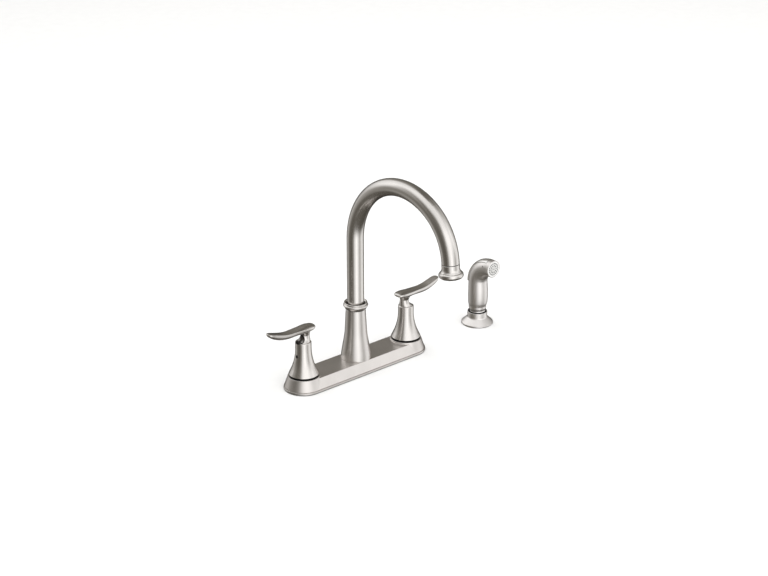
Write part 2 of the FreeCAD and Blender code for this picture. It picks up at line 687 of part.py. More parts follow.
b = outlet("aerator_shell")
revolve(b, [(12.6, -0.95), (12.85, -1.2), (12.85, -6.8), (14.9, -11.6, 9.0),
            (15.35, -12.5), (17.5, -15.8, -3.6), (15.6, -20.2, -4.0), (14.2, -20.7, -1.2), (12.05, -20.7),
            (12.05, -9.5), (10.0, -9.5), (10.0, 4.0), (11.1, 4.0), (11.1, -0.95)])
b = outlet("aerator_washer")
revolve(b, [(8.4, -11.3), (11.9, -11.3), (11.9, -9.5), (8.4, -9.5)])
# The flat seal that the tube's end presses on, seen as a dark line.
b = outlet("aerator_seal")
revolve(b, [(11.15, -0.93), (12.45, -0.93), (12.45, -0.03), (11.15, -0.03)])
b = outlet("aerator_insert")
revolve(b, [(0, -18.3), (11.95, -18.3), (11.95, -11.3), (9.6, -11.3), (9.6, -14.0), (0, -14.0)])
sk = sketch(b, "jets", "XY_Plane", off=-19.5)
circles(sk, [(7.6 * math.cos(math.radians(a)), 7.6 * math.sin(math.radians(a)), 0.9) for a in range(0, 360, 30)]
        + [(4.2 * math.cos(math.radians(a)), 4.2 * math.sin(math.radians(a)), 0.9) for a in range(15, 375, 60)])
pocket(b, sk, 6.0, back=True)
b = outlet("aerator_screen")
revolve(b, [(0, -19.3), (11.95, -19.3), (11.95, -18.35), (0, -18.35)])
sk = sketch(b, "mesh", "XY_Plane", off=-21.0)
pts = []
for i in range(-4, 5):
    for j in range(-4, 5):
        if math.hypot(i * 2.2, j * 2.2) < 9.6:
            pts.append((i * 2.2, j * 2.2, 0.78))
circles(sk, pts)
pocket(b, sk, 3.0, back=True)

# --------------------------------------------------------------------------
# Washers and wing nuts that clamp the valve shanks under the deck.
# --------------------------------------------------------------------------
b = body("mounting_washers")
sk = sketch(b, "rings", "XY_Plane", off=-deck_thick - 2.0)
circles(sk, [(half_centres, 0, 22.0), (half_centres, 0, shank_out + 0.25),
             (-half_centres, 0, 22.0), (-half_centres, 0, shank_out + 0.25)])
pad(b, sk, 2.0)
b = body("mounting_nuts")
for side, sx in (("cold", half_centres), ("hot", -half_centres)):
    sk = sketch(b, side + "_hub", "XY_Plane", off=-deck_thick - 14.0)
    circles(sk, [(sx, 0, 15.0), (sx, 0, shank_out)])
    pad(b, sk, 12.0)
for side, sx in (("cold", half_centres), ("hot", -half_centres)):
    for k, way in (("front", -1.0), ("back", 1.0)):
        sk = sketch(b, side + "_wing_" + k, "XY_Plane", off=-deck_thick - 12.0)
        y0, y1 = (14.0, 26.0) if way > 0 else (-26.0, -14.0)
        outline(sk, [(sx - 2.4, y0), (sx + 2.4, y0), (sx + 2.4, y1), (sx - 2.4, y1)])
        pad(b, sk, 10.0)

# --------------------------------------------------------------------------
# Side spray: its holder on the deck, and the wand that lifts out of it.
# --------------------------------------------------------------------------
b = body("spray_holder_gasket", x=spray_x)
revolve(b, [(14.6, 0), (24.4, 0), (24.4, 0.5), (14.6, 0.5)])
b = body("spray_holder", x=spray_x)
revolve(b, [(11.4, -40.0), (14.3, -40.0), (14.3, 0.5), (flange_edge - 0.3, 0.5),
            (flange_edge, 0.8), (flange_edge, 2.3), (flange_edge - 0.5, 2.9, 0.7),
            (17.3, 9.9), (holder_neck, 12.2, -3.2), (holder_neck, holder_high - 0.7),
            (holder_neck - 0.7, holder_high, 0.7), (11.9, holder_high), (11.4, holder_high - 0.5)])
b = body("spray_holder_nut", x=spray_x)
sk = sketch(b, "hub", "XY_Plane", off=-deck_thick - 10.0)
outline(sk, hexagon(22.0))
circles(sk, [(0, 0, 14.3)])
pad(b, sk, 8.0)
b = body("spray_holder_washer", x=spray_x)
revolve(b, [(14.6, -deck_thick - 2.0), (24.0, -deck_thick - 2.0), (24.0, -deck_thick), (14.6, -deck_thick)])

b = body("spray_coupling", x=spray_x)
revolve(b, [(3.5, -32.0), (6.2, -32.0), (6.2, -20.0), (10.4, -20.0), (10.9, -19.5),
            (10.9, holder_high + 0.1), (14.8, holder_high + 0.1), (14.8, 21.6), (8.95, 21.6),
            (8.95, 33.0), (3.5, 33.0)])

# The wand's outside: round sections along a line that rises, bends forward
# through a quarter turn and ends at the nozzle.
bend_z = barrel_z - bend_arc
wand_rows = [(21.6, 12.9, 0.0), (26.0, 13.55, 0.0), (30.0, 13.85, 0.0), (32.2, 14.35, -0.1), (34.4, 15.05, -0.3),
             (38.0, 15.5, -0.5), (44.0, 15.75, -0.7), (52.0, 15.8, -0.7), (62.0, 15.55, -0.4)]
wand_r = []
for k, (z, r, y) in enumerate(wand_rows):
    t = "abcdefghi"[k]
    wand_r.append((cell("wand_z_" + t, z, "wand station"), cell("wand_r_" + t, r, "its radius"),
                   cell("wand_y_" + t, y, "its centre, forward")))
wand_start = cell("wand_start", 15.1, "wand radius where the bend starts")
nozzle_r = cell("nozzle_r", 13.8, "radius of the nozzle's rim")
bend_r = [(a, wand_start - (wand_start - nozzle_r) * (1 - cosine(a))) for a in
          (0.0, 11.25, 22.5, 33.75, 45.0, 56.25, 67.5, 78.75, 90.0)]


def wand_loft(b, grow, grow_front):
    """The wand's form, larger all round by grow, and by grow_front at the nozzle."""
    sks = []
    for k, (z, r, y) in enumerate(wand_r):
        sk = sketch(b, "rise%d" % k, "XY_Plane", off=z)
        circles(sk, [(0, y, r + grow)])
        sks.append(sk)
    for k, (a, r) in enumerate(bend_r):
        sk = sketch(b, "bend%d" % k, "XY_Plane",
                    shift=(0, -bend_arc * (1 - cosine(a)), bend_z + bend_arc * sine(a)), tilt=a)
        circles(sk, [(0, 0, r + grow + (grow_front - grow) * (a / 90.0))])
        sks.append(sk)
    loft(b, sks, "form")
    sk = sketch(b, "mouth", "XZ_Plane", off=bend_arc)
    circles(sk, [(0, barrel_z, nozzle_r + grow_front)])
    return pad(b, sk, nozzle_y - bend_arc)


def band(b, name, half, pts):
    """A region of the wand's side view, as wide as the thumb lever."""
    sk = sketch(b, name, "YZ_Plane", off=-half)
    outline(sk, pts)
    return sk


b = body("spray_shell_blank", x=spray_x, keep=False)
wand_loft(b, 0.0, 0.0)
round_edges(b, 0.7, lambda e: abs(e.BoundBox.YMin + nozzle_y.v) < 0.05 and abs(e.BoundBox.YMax + nozzle_y.v) < 0.05)
# channel for the thumb lever, its floor clear of the lever when pressed
chan = band(b, "channel", 9.35, [(6.5, 64.5), (24.0, 64.5), (24.0, 122.0), (-27.0, 122.0), (-27.0, 111.8),
                                 (-18.5, 110.0), (-9.4, 105.1), (-2.0, 98.1), (3.4, 89.4), (6.2, 79.7),
                                 (6.5, 69.3)])
pocket(b, chan, 18.7, back=True)
slot = band(b, "lug_slot", 4.4, [(-26.0, 103.2), (-19.0, 103.2), (-19.0, 118.0), (-26.0, 118.0)])
pocket(b, slot, 8.8, back=True)
drill(b, "XY_Plane", 21.0, [(0, 0, 9.0)], 13.0, back=True, name="thread")
drill(b, "XY_Plane", 33.0, [(0, -5.8, 3.0)], 28.0, back=True, name="way")
drill(b, "XY_Plane", 60.0, [(0, -7.0, 4.4)], 36.0, back=True, name="valve")
drill(b, "XY_Plane", 95.0, [(0, -7.0, 1.95)], 12.0, back=True, name="stem")
drill(b, "XZ_Plane", 7.0, [(0, 96.0, 4.0)], 23.0, back=True, name="barrel")
drill(b, "XZ_Plane", 28.5, [(0, barrel_z, 8.5)], 6.5, back=True, name="plenum")
drill(b, "XZ_Plane", 30.5, [(0, barrel_z, 12.4)], 5.0, back=True, name="face")
drill(b, "YZ_Plane", -14.0, [(-22.5, 106.4, 1.2)], 28.0, back=True, name="pin")
b.Label = "spray_shell"
parts.append(b)

b = body("spray_face", x=spray_x)
sk = sketch(b, "disc", "XZ_Plane", off=30.5)
circles(sk, [(0, barrel_z, 12.35)])
pad(b, sk, nozzle_y - 30.9)
sk = sketch(b, "boss", "XZ_Plane", off=nozzle_y - 0.5)
circles(sk, [(0, barrel_z, 3.0)])
pad(b, sk, 0.9)
sk = sketch(b, "jets", "XZ_Plane", off=30.0)
circles(sk, [(9.3 * math.cos(math.radians(a)), barrel_z + 9.3 * math.sin(math.radians(a)), 0.6) for a in range(0, 360, 20)]
        + [(5.6 * math.cos(math.radians(a)), barrel_z + 5.6 * math.sin(math.radians(a)), 0.6) for a in range(0, 360, 36)]
        + [(0, barrel_z, 1.3)])
pocket(b, sk, 6.0, back=True)

b = body("spray_valve_seat", x=spray_x, y=-7.0)
revolve(b, [(2.6, 86.7), (4.35, 86.7), (4.35, 88.7), (2.6, 88.7)])
b = body("spray_valve_spring", x=spray_x, y=-7.0)
sk = sketch(b, "wire", "XZ_Plane")
circles(sk, [(3.2, 60.6, 0.5)])
f = b.newObject("PartDesign::AdditiveHelix", "spray_valve_spring_coil")
f.Profile = sk
f.ReferenceAxis = (sk, ["V_Axis"])
f.Mode = "pitch-height-angle"
f.Pitch = 2.7
f.Height = 22.3
b.Tip = f
b = body("spray_plunger", x=spray_x, y=-7.0)
revolve(b, [(0, 83.6), (3.9, 83.6), (3.9, 86.6), (1.85, 86.6), (1.85, 103.3), (0.8, 104.15), (0, 104.15)])

b = body("trigger_pin", x=spray_x)
sk = sketch(b, "rod", "YZ_Plane", off=-11.4)
circles(sk, [(-22.5, 106.4, 1.19)])
pad(b, sk, 22.8)

# Thumb lever: a strip that follows the back and the top of the wand, 2.4 mm
# proud of it at the back and nearly flush at the front, with a lug under its
# front end for the pin.
b = body("thumb_form", x=spray_x, keep=False)
wand_loft(b, 2.4, 0.15)
form = b
doc.recompute()
b = body("thumb_region", x=spray_x, keep=False)
sk = band(b, "strip", 8.9, [(10.6, 71.0), (22.0, 71.0), (22.0, 122.0), (-26.4, 122.0), (-26.4, 112.4),
                            (-18.75, 111.05), (-9.2, 107.1), (-1.0, 100.8), (5.3, 92.6), (9.25, 83.05),
                            (10.6, 72.8)])
pad(b, sk, 17.8)
region = b
strip = doc.addObject("Part::MultiCommon", "thumb_strip")
strip.Shapes = [form, region]
b = body("thumb_lug", x=spray_x, keep=False)
sk = band(b, "lug", 4.0, [(-25.2, 106.4), (-19.8, 106.4, 2.7), (-19.8, 112.0), (-25.2, 113.0)])
pad(b, sk, 8.0)
lug = b
whole = doc.addObject("Part::MultiFuse", "thumb_whole")
whole.Shapes = [strip, lug]
hole = doc.addObject("Part::Cylinder", "thumb_hole")
hole.Radius = 1.25
hole.Height = 30.0
hole.Placement = Placement(Vector(spray_x.v - 15.0, -22.5, 106.4), Rotation(Vector(0, 1, 0), 90))
hole.setExpression("Placement.Base.x", "Sheet.spray_x - 15")
trig = doc.addObject("Part::Cut", "spray_trigger")
trig.Base = whole
trig.Tool = hole
trig.Label = "spray_trigger"
parts.append(trig)

# --------------------------------------------------------------------------
# Check everything, then write one file for each sub-part.
# --------------------------------------------------------------------------
doc.recompute()
bad = []
for o in doc.Objects:
    if "Invalid" in o.State or "Error" in o.State:
        bad.append("%s %s" % (o.Name, o.State))
labels = [p.Label for p in parts]
if len(set(labels)) != len(labels):
    bad.append("two sub-parts share a label")
for p in parts:
    s = p.Shape
    if s.isNull() or not s.isValid() or not s.Solids:
        bad.append("%s shape: null %s, valid %s, solids %d" % (p.Label, s.isNull(), (not s.isNull()) and s.isValid(), len(s.Solids)))
if bad:
    raise RuntimeError("; ".join(bad))
os.makedirs("parts", exist_ok=True)
for p in parts:
    s = p.Shape
    s.exportStep("parts/%s.step" % p.Label)
    bb = s.BoundBox
    print("%-22s solids %d  vol %9.1f  x %.2f..%.2f  y %.2f..%.2f  z %.2f..%.2f"
          % (p.Label, len(s.Solids), s.Volume, bb.XMin, bb.XMax, bb.YMin, bb.YMax, bb.ZMin, bb.ZMax))
print("nodes", len(parts))
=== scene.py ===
import json
import math

import bpy
from mathutils import Matrix, Vector


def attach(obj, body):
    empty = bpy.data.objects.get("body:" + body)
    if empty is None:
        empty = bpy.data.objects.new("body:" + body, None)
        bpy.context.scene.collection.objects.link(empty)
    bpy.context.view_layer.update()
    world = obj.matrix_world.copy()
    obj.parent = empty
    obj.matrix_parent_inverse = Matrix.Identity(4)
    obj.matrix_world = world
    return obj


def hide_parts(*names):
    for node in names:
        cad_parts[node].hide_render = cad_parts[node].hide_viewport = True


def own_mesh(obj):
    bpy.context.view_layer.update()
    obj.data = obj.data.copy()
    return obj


# Two handle kitchen faucet with a high arc spout and a side spray.
# Metres, +Z up, the same frame as the construction model.

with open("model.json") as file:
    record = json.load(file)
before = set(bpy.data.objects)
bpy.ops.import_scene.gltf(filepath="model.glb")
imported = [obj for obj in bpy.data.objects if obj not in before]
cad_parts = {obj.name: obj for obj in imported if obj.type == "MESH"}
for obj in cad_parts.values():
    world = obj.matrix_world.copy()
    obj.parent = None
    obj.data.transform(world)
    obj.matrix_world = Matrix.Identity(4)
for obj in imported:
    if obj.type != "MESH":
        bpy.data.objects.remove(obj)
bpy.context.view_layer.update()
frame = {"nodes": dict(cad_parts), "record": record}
NODES = frame["nodes"]
scene = bpy.context.scene

# ---------------------------------------------------------------------------
# Camera: the picture is 768 x 576.
# ---------------------------------------------------------------------------
AZ, EL = math.radians(41.66), math.radians(22.75)
DIST, FOCAL, TX, TZ = 2.607, 1718.9, 0.04232, 0.12074
fwd = Vector((math.sin(AZ) * math.cos(EL), math.cos(AZ) * math.cos(EL), -math.sin(EL)))
right = Vector((math.cos(AZ), -math.sin(AZ), 0.0))
up = right.cross(fwd)
cam_data = bpy.data.cameras.new("camera")
cam_data.sensor_width = 36.0
cam_data.sensor_fit = "HORIZONTAL"
cam_data.lens = FOCAL / 768.0 * 36.0
cam_data.clip_start, cam_data.clip_end = 0.05, 60.0
cam = bpy.data.objects.new("camera", cam_data)
scene.collection.objects.link(cam)
pos = right * TX + up * TZ - fwd * DIST
m = Matrix.Identity(4)
for i in range(3):
    m[i][0], m[i][1], m[i][2], m[i][3] = right[i], up[i], -fwd[i], pos[i]
cam.matrix_world = m
scene.camera = cam


# ---------------------------------------------------------------------------
# Node helpers
# ---------------------------------------------------------------------------
class Tree:
    """A short way to write node trees."""

    def __init__(self, tree):
        self.t = tree
        tree.nodes.clear()

    def node(self, kind, **props):
        n = self.t.nodes.new(kind)
        for k, v in props.items():
            setattr(n, k, v)
        return n

    def link(self, a, b):
        self.t.links.new(a, b)

    def math(self, op, a, b=None, c=None, clamp=False):
        n = self.node("ShaderNodeMath", operation=op, use_clamp=clamp)
        for i, v in enumerate((a, b, c)):
            if v is None:
                continue
            if isinstance(v, (int, float)):
                n.inputs[i].default_value = v
            else:
                self.link(v, n.inputs[i])
        return n.outputs[0]

    def ramp(self, fac, stops, mode="LINEAR"):
        n = self.node("ShaderNodeValToRGB")
        n.color_ramp.interpolation = mode
        e = n.color_ramp.elements
        while len(e) > 1:
            e.remove(e[-1])
        e[0].position, e[0].color = stops[0][0], (*stops[0][1], 1.0)
        for p, c in stops[1:]:
            x = e.new(p)
            x.color = (*c, 1.0)
        self.link(fac, n.inputs["Fac"])
        return n.outputs["Color"]

    def mix(self, fac, a, b):
        n = self.node("ShaderNodeMix", data_type="RGBA", blend_type="MIX")
        for v, k in ((fac, 0), (a, 6), (b, 7)):
            if isinstance(v, (int, float)):
                n.inputs[k].default_value = v
            elif isinstance(v, tuple):
                n.inputs[k].default_value = (*v, 1.0)
            else:
                self.link(v, n.inputs[k])
        return n.outputs[2]


def tone(v):
    """A nearly neutral light: the dimmer it is, the warmer."""
    k = max(0.0, 1.0 - v) ** 2
    return (v * (1 + 0.10 * k), v, v * (1 - 0.17 * k))


# ---------------------------------------------------------------------------
# Studio: a soft surround with a dark flag at the left and a dim far side.
# It stands still in the room.  What the camera sees directly is plain white.
# ---------------------------------------------------------------------------
world = bpy.data.worlds.new("studio")
scene.world = world
world.use_nodes = True
w = Tree(world.node_tree)
co = w.node("ShaderNodeTexCoord")
sep = w.node("ShaderNodeSeparateXYZ")
w.link(co.outputs["Generated"], sep.inputs[0])
X, Y, Z = sep.outputs
# azimuth as a share of a full turn, 0 at -X
turn = w.math("ADD", w.math("DIVIDE", w.math("ARCTAN2", Y, X), 2 * math.pi), 0.5)


def at(deg):
    """Where a direction, in degrees counter-clockwise from +X, lies on that scale."""
    return ((deg + 180.0) % 360.0) / 360.0


def around(stops):
    """stops: (degrees, grey).  Closes the ramp at the ends."""
    s = sorted((at(d), v) for d, v in stops)
    a, b = s[-1], s[0]
    t = (1.0 - a[0]) / (1.0 - a[0] + b[0])
    edge = a[1] + (b[1] - a[1]) * t
    return [(0.0, tone(edge))] + [(p, tone(v)) for p, v in s] + [(1.0, tone(edge))]


def between(z0, z1):
    """0 below the height z0 of a direction, 1 above z1."""
    n = w.node("ShaderNodeMapRange", interpolation_type="SMOOTHSTEP")
    n.inputs["From Min"].default_value = z0
    n.inputs["From Max"].default_value = z1
    w.link(Z, n.inputs["Value"])
    return n.outputs["Result"]


under = w.ramp(turn, around([(40, 0.05), (100, 0.10), (150, 0.16), (230, 0.14), (320, 0.10)]), "EASE")
low = w.ramp(turn, around([(0, 0.30), (18, 0.04), (76, 0.03), (102, 0.60), (122, 0.42), (146, 0.16), (182, 0.12),
                           (202, 0.30), (222, 1.10), (248, 1.68), (274, 1.02), (290, 0.56), (322, 1.15),
                           (342, 1.20)]), "EASE")
mid = w.ramp(turn, around([(0, 0.55), (22, 0.16), (48, 0.19), (66, 0.26), (88, 1.15), (120, 1.40), (142, 0.45),
                           (170, 0.17), (196, 0.22), (232, 1.50), (262, 1.55), (290, 1.20), (312, 1.35),
                           (342, 0.75)]), "EASE")
top = w.ramp(turn, around([(338, 0.45), (8, 0.17), (36, 0.14), (58, 0.30), (92, 1.10), (130, 1.30), (200, 1.10),
                           (270, 1.20), (314, 0.80)]), "EASE")
sky = w.mix(between(0.46, 0.84), w.mix(between(-0.16, 0.34), w.mix(between(-0.70, -0.46), under, low), mid), top)
lp = w.node("ShaderNodeLightPath")
bg_studio = w.node("ShaderNodeBackground")
w.link(sky, bg_studio.inputs["Color"])
bg_studio.inputs["Strength"].default_value = 1.0
bg_plain = w.node("ShaderNodeBackground")
bg_plain.inputs["Color"].default_value = (1, 1, 1, 1)
bg_plain.inputs["Strength"].default_value = 1.0
ms = w.node("ShaderNodeMixShader")
w.link(lp.outputs["Is Camera Ray"], ms.inputs[0])
w.link(bg_studio.outputs[0], ms.inputs[1])
w.link(bg_plain.outputs[0], ms.inputs[2])
out = w.node("ShaderNodeOutputWorld")
w.link(ms.outputs[0], out.inputs[0])

scene.view_settings.view_transform = "Standard"
scene.view_settings.look = "None"
scene.view_settings.exposure = 0.0
scene.view_settings.gamma = 1.0


# ---------------------------------------------------------------------------
# Materials
# ---------------------------------------------------------------------------
def surface(name, base, metallic=0.0, rough=0.4, vary=0.06, grain=900.0, bump=0.02, bump_scale=1400.0,
            brushed=None, spec=0.5, rough_vary=0.05, coat=0.0, second=None):
    """A procedural finish: colour varies softly, roughness varies with a finer grain,
    and a very fine relief breaks up the gloss.  brushed stretches the relief along that axis.
    second: a mask by position on the piece, and the colour there; here it carries painted shade in hollows, the collar
    cup and nozzle holes, and the spray face's lighter rim."""
    mat = bpy.data.materials.new(name)
    mat.use_nodes = True
    t = Tree(mat.node_tree)
    p = t.node("ShaderNodeBsdfPrincipled")
    o = t.node("ShaderNodeOutputMaterial")
    t.link(p.outputs[0], o.inputs[0])
    p.inputs["Metallic"].default_value = metallic
    p.inputs["Specular IOR Level"].default_value = spec
    if coat:
        p.inputs["Coat Weight"].default_value = coat
        p.inputs["Coat Roughness"].default_value = 0.25
    c = t.node("ShaderNodeTexCoord")
    n1 = t.node("ShaderNodeTexNoise")
    n1.inputs["Scale"].default_value = 38.0
    n1.inputs["Detail"].default_value = 3.0
    t.link(c.outputs["Object"], n1.inputs["Vector"])
    a = tuple(max(0.0, v * (1 - vary)) for v in base)
    b = tuple(min(1.0, v * (1 + vary)) for v in base)
    colour = t.ramp(n1.outputs["Fac"], [(0.35, a), (0.65, b)])
    for mask, tint in second or ():
        colour = t.mix(mask(t, c.outputs["Object"]), colour, tint)
    t.link(colour, p.inputs["Base Color"])
    n2 = t.node("ShaderNodeTexNoise")
    n2.inputs["Scale"].default_value = grain
    n2.inputs["Detail"].default_value = 2.0
    t.link(c.outputs["Object"], n2.inputs["Vector"])
    r = t.node("ShaderNodeMapRange")
    r.inputs["To Min"].default_value = rough - rough_vary
    r.inputs["To Max"].default_value = rough + rough_vary
    t.link(n2.outputs["Fac"], r.inputs["Value"])
    t.link(r.outputs["Result"], p.inputs["Roughness"])
    n3 = t.node("ShaderNodeTexNoise")
    n3.inputs["Scale"].default_value = bump_scale
    n3.inputs["Detail"].default_value = 1.0
    if brushed:
        mp = t.node("ShaderNodeMapping")
        mp.inputs["Scale"].default_value = brushed
        t.link(c.outputs["Object"], mp.inputs["Vector"])
        t.link(mp.outputs[0], n3.inputs["Vector"])
    else:
        t.link(c.outputs["Object"], n3.inputs["Vector"])
    bp = t.node("ShaderNodeBump")
    bp.inputs["Strength"].default_value = bump
    bp.inputs["Distance"].default_value = 0.0002
    t.link(n3.outputs["Fac"], bp.inputs["Height"])
    t.link(bp.outputs[0], p.inputs["Normal"])
    return mat


def step(t, v, v0, v1):
    """0 where v is below v0, 1 above v1; v1 may be the smaller."""
    n = t.node("ShaderNodeMapRange", interpolation_type="SMOOTHSTEP")
    n.inputs["From Min"].default_value = v0
    n.inputs["From Max"].default_value = v1
    t.link(v, n.inputs["Value"])
    return n.outputs["Result"]


def within_ball(centre, r):
    """The hollow left by a ball, where painted shade goes."""
    def mask(t, co):
        d = t.node("ShaderNodeVectorMath", operation="DISTANCE")
        t.link(co, d.inputs[0])
        d.inputs[1].default_value = centre
        return step(t, d.outputs["Value"], r + 0.00025, r)
    return mask


def within_cup(r, z):
    """Inside the radius r about the Z axis and above z: where painted shade goes in the collar's cup."""
    def mask(t, co):
        s = t.node("ShaderNodeSeparateXYZ")
        t.link(co, s.inputs[0])
        d = t.math("SQRT", t.math("ADD", t.math("MULTIPLY", s.outputs[0], s.outputs[0]),
                                  t.math("MULTIPLY", s.outputs[1], s.outputs[1])))
        return t.math("MULTIPLY", step(t, d, r + 0.0003, r), step(t, s.outputs[2], z - 0.0003, z))
    return mask


def about_face(x, z):
    """Distance and angle about the nozzle's axis."""
    def polar(t, co):
        s = t.node("ShaderNodeSeparateXYZ")
        t.link(co, s.inputs[0])
        u, v = t.math("SUBTRACT", s.outputs[0], x), t.math("SUBTRACT", s.outputs[2], z)
        d = t.math("SQRT", t.math("ADD", t.math("MULTIPLY", u, u), t.math("MULTIPLY", v, v)))
        return d, t.math("ARCTAN2", v, u)
    return polar


def rim(polar, r):
    """Outside the radius r."""
    def mask(t, co):
        return step(t, polar(t, co)[0], r, r + 0.0003)
    return mask


def nozzles(polar, r, n, size):
    """n small discs on a circle of radius r; on the spray face they are painted dark, partly the rubber nozzles' own
    tone and partly painted shade of their holes.
    """
    def mask(t, co):
        d, a = polar(t, co)
        share = t.math("SUBTRACT", t.math("FRACT", t.math("ADD", t.math("MULTIPLY", a, n / (2 * math.pi)), 0.5)), 0.5)
        along = t.math("MULTIPLY", share, 2 * math.pi / n * r)
        across = t.math("SUBTRACT", d, r)
        far = t.math("SQRT", t.math("ADD", t.math("MULTIPLY", along, along), t.math("MULTIPLY", across, across)))
        return step(t, far, size + 0.0002, size)
    return mask


def middle(name, axis):
    return (min(v.co[axis] for v in NODES[name].data.vertices) + max(v.co[axis] for v in NODES[name].data.vertices)) / 2


def satin(name, **more):
    return surface(name, (0.66, 0.635, 0.61), 1.0, 0.21, vary=0.02, grain=1500.0, bump=0.05, rough_vary=0.03, **more)


# Painted shade: dark tones put into the hollows and the collar cup to stand in for the shade there.
PAINTED_SHADE, PAINTED_DEEP_SHADE = (0.20, 0.19, 0.18), (0.11, 0.105, 0.10)
NICKEL = satin("satin_nickel")
NICKEL_CONE = surface("satin_nickel_cone", (0.66, 0.635, 0.61), 1.0, 0.28, vary=0.02, grain=1500.0, bump=0.05,
                      rough_vary=0.03)
NICKEL_PL = surface("plated_plastic", (0.78, 0.755, 0.735), 1.0, 0.39, vary=0.02, grain=1500.0, bump=0.05,
                    rough_vary=0.03)
NICKEL_THUMB = surface("plated_thumb_lever", (0.90, 0.885, 0.87), 1.0, 0.26, vary=0.02, grain=1500.0, bump=0.05,
                       rough_vary=0.03)
polar = about_face(middle("spray_face", 0), middle("spray_face", 2))
# The spray face: a lighter rim, and two rings of near-black discs: the dark rubber nozzles with painted shade of their
# holes.
FACE = surface("spray_face_plastic", (0.64, 0.635, 0.62), 0.0, 0.38, vary=0.04,
               second=[(rim(polar, 0.0107), (0.90, 0.895, 0.88)), (nozzles(polar, 0.0093, 18, 0.00095), (0.10, 0.10, 0.10)),
                       (nozzles(polar, 0.0056, 10, 0.00095), (0.10, 0.10, 0.10))])
# Painted shade: the inside of the collar's cup, round the tube's foot, is coloured darker.
cup_z = max(v.co[2] for v in NODES["spout_collar"].data.vertices) - 0.0034
NICKEL_COLLAR_CUP_SHADE = satin("satin_nickel_collar_cup_shade", second=[(within_cup(0.0143, cup_z), PAINTED_DEEP_SHADE)])
# Painted shade: the hollow scooped from each handle hub is coloured darker.
NICKEL_HUB_HOLLOW_SHADE = {side: satin("satin_nickel_hub_shaded_hollow_" + side, second=[(within_ball((sx, 0.0, 0.0792), 0.0076), PAINTED_DEEP_SHADE)])
              for side, sx in (("hot", -0.1086), ("cold", 0.1086))}
# Painted shade: the hollow in each lever's neck is coloured darker.
NICKEL_LEVER_HOLLOW_SHADE = {side: satin("satin_nickel_lever_shaded_hollow_" + side, second=[(within_ball((sx, 0.0, 0.0796), 0.0082), PAINTED_SHADE)])
                for side, sx in (("hot", -0.1093), ("cold", 0.1093))}
BRASS = surface("turned_brass", (0.74, 0.55, 0.27), 1.0, 0.30, vary=0.05, brushed=(0.2, 0.2, 3.0), bump=0.15)
COPPER = surface("drawn_copper", (0.76, 0.42, 0.26), 1.0, 0.28, vary=0.05, brushed=(0.2, 3.0, 3.0), bump=0.12)
RUBBER = surface("black_rubber", (0.018, 0.018, 0.019), 0.0, 0.62, vary=0.15)
ACETAL = surface("black_acetal", (0.020, 0.020, 0.021), 0.0, 0.42, vary=0.15)
WHITE = surface("white_acetal", (0.82, 0.82, 0.80), 0.0, 0.42)
CERAMIC = surface("lapped_ceramic", (0.90, 0.89, 0.86), 0.0, 0.18, vary=0.03, bump=0.01)
STEEL = surface("stainless", (0.60, 0.60, 0.61), 1.0, 0.28, vary=0.04, bump=0.1)
NICKEL_CAST = surface("satin_nickel_cast", (0.67, 0.64, 0.615), 1.0, 0.36, vary=0.035, grain=1300.0, bump=0.07,
                      rough_vary=0.05)
# Glide rings, aerator seal and spray coupling: real black rings, made near black and nearly specless, darker than the
# black plastic, to paint the shade of the gaps they sit in.
SEAM_GAP_SHADE = surface("dull_black_ring_gap_shade", (0.005, 0.005, 0.005), 0.0, 0.85, vary=0.15, spec=0.08)
OXIDE = surface("black_oxide_steel", (0.05, 0.05, 0.052), 1.0, 0.42, vary=0.1)
FINISH_AND_PAINTED_SHADE = {"deck_plate": NICKEL_CAST, "handle_glide_rings": SEAM_GAP_SHADE, "spout_glide_ring": SEAM_GAP_SHADE, "aerator_seal": SEAM_GAP_SHADE,
          "spray_coupling": SEAM_GAP_SHADE, "hot_set_screw": OXIDE, "cold_set_screw": OXIDE, "spout_collar": NICKEL_COLLAR_CUP_SHADE,
          "spout_base": NICKEL_CONE, "spray_trigger": NICKEL_THUMB,
          "hot_handle_hub": NICKEL_HUB_HOLLOW_SHADE["hot"], "cold_handle_hub": NICKEL_HUB_HOLLOW_SHADE["cold"]}
MATERIAL = {"satin_nickel": NICKEL, "spray_nickel": NICKEL_PL, "spray_face_plastic": FACE, "brass": BRASS,
            "copper_tube": COPPER, "black_rubber": RUBBER, "black_plastic": ACETAL, "white_plastic": WHITE,
            "ceramic_white": CERAMIC, "plain_steel": STEEL}
SLOT = {s["node"]: s["material_slot"] for s in frame["record"]["subparts"]}


def wear(o, mat):
    o.data.materials.clear()
    o.data.materials.append(mat)


for name, o in NODES.items():
    wear(o, FINISH_AND_PAINTED_SHADE.get(name, MATERIAL[SLOT[name]]))

# ---------------------------------------------------------------------------
# Levers: a long blade with a crowned top, a rolled edge and a hull-like
# underside, that grows out of a short neck.  The neck stands almost flush
# with the bell on the inner side and is hollowed on the outer side.
# Stations in mm: outward run, top, underside, half width.
# ---------------------------------------------------------------------------
BLADE = [(-19.6, 96.9, 94.2, 3.6), (-17.8, 98.0, 92.8, 6.9), (-14.0, 98.9, 91.4, 9.0),
         (-8.0, 99.4, 90.4, 9.9), (0.0, 99.2, 89.9, 9.7), (9.0, 98.3, 89.8, 8.8),
         (19.0, 97.4, 89.3, 7.9), (29.0, 97.2, 88.9, 7.5), (39.0, 98.6, 89.7, 7.3),
         (49.0, 101.3, 92.1, 7.1), (57.0, 103.6, 95.6, 6.8), (61.5, 104.8, 98.4, 6.0),
         (63.6, 105.1, 100.2, 4.9), (64.7, 105.15, 101.6, 3.6)]
